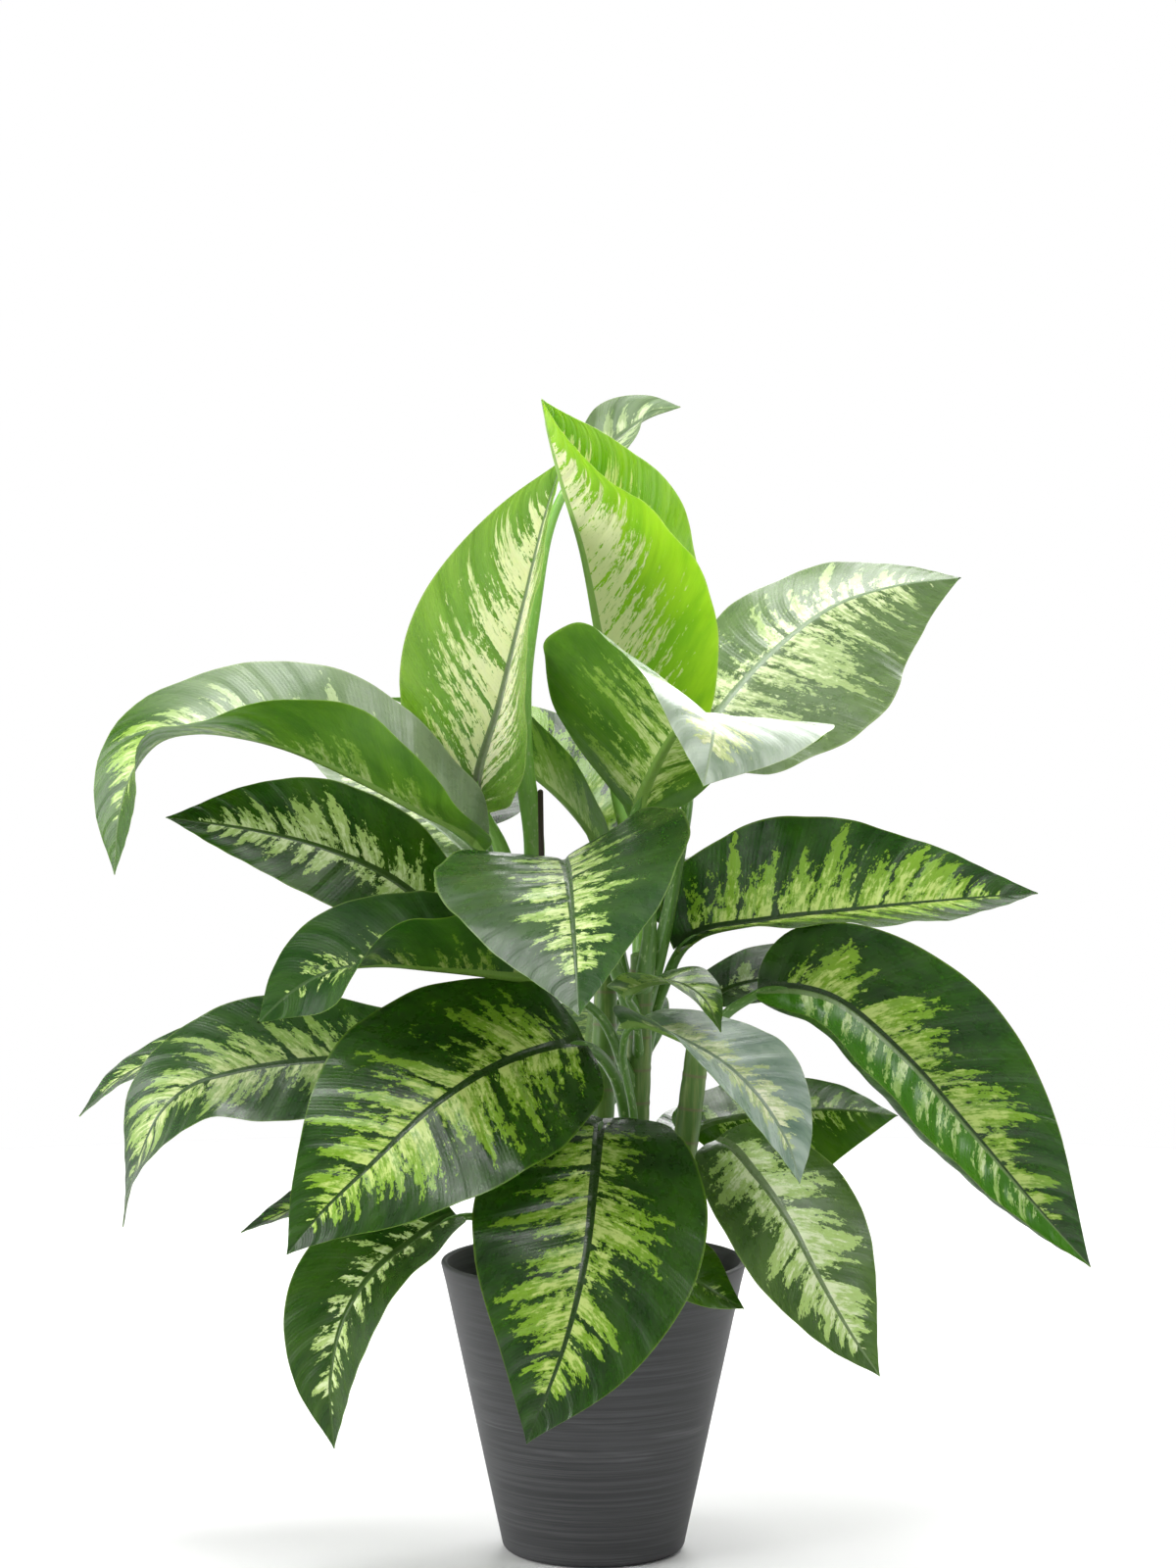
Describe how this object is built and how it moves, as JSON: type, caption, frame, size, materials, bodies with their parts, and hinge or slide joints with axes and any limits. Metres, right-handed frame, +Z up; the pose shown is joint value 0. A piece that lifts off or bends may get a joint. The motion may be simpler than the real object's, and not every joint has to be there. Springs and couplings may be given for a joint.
{
  "type": "potted plant",
  "caption": "Dieffenbachia with broad cream-splashed green leaves on upright canes, growing in a tapered matt anthracite planter.",
  "frame": {"origin": "centre of the planter's flat underside, where it meets the floor", "axes": "+Z up along the planter's axis, -Y towards the front of the plant, +X to its right"},
  "size_m": [0.7233, 0.615, 0.8363],
  "materials": {
    "pot": "matte",
    "potting_soil": "matte",
    "cane": "satin",
    "support_stake": "matte",
    "leaf": "satin",
    "young_leaf": "satin"
  },
  "bodies": {
    "root": {"pot": "pot", "potting_soil": "potting_soil", "cane_a": "cane", "cane_b": "cane", "cane_c": "cane", "cane_d": "cane", "cane_e": "cane", "support_stake": "support_stake", "leaf_crown_left": "young_leaf", "leaf_crown_right": "young_leaf", "leaf_crown_back": "young_leaf", "leaf_centre_folded": "leaf", "leaf_right_upper": "leaf", "leaf_right_mid": "leaf", "leaf_right_arching": "leaf", "leaf_right_under": "leaf", "leaf_right_low_back": "leaf", "leaf_front_right": "leaf", "leaf_front_right_small": "leaf", "leaf_low_right": "leaf", "leaf_rim_right": "leaf", "leaf_centre_heart": "leaf", "leaf_left_arching": "leaf", "leaf_left_mid": "leaf", "leaf_left_trough": "leaf", "leaf_left_low": "leaf", "leaf_left_low_back": "leaf", "leaf_front_left": "leaf", "leaf_front_centre": "leaf", "leaf_low_left": "leaf", "leaf_left_peek": "leaf", "leaf_back_centre": "leaf", "leaf_left_behind": "leaf", "leaf_rear_top": "leaf", "leaf_rear_left": "leaf", "leaf_rear_right": "leaf", "leaf_rear_low": "leaf", "leaf_rear_low_left": "leaf", "leaf_rear_low_right": "leaf", "leaf_rear_upper_left": "leaf"}
  },
  "joints": []
}
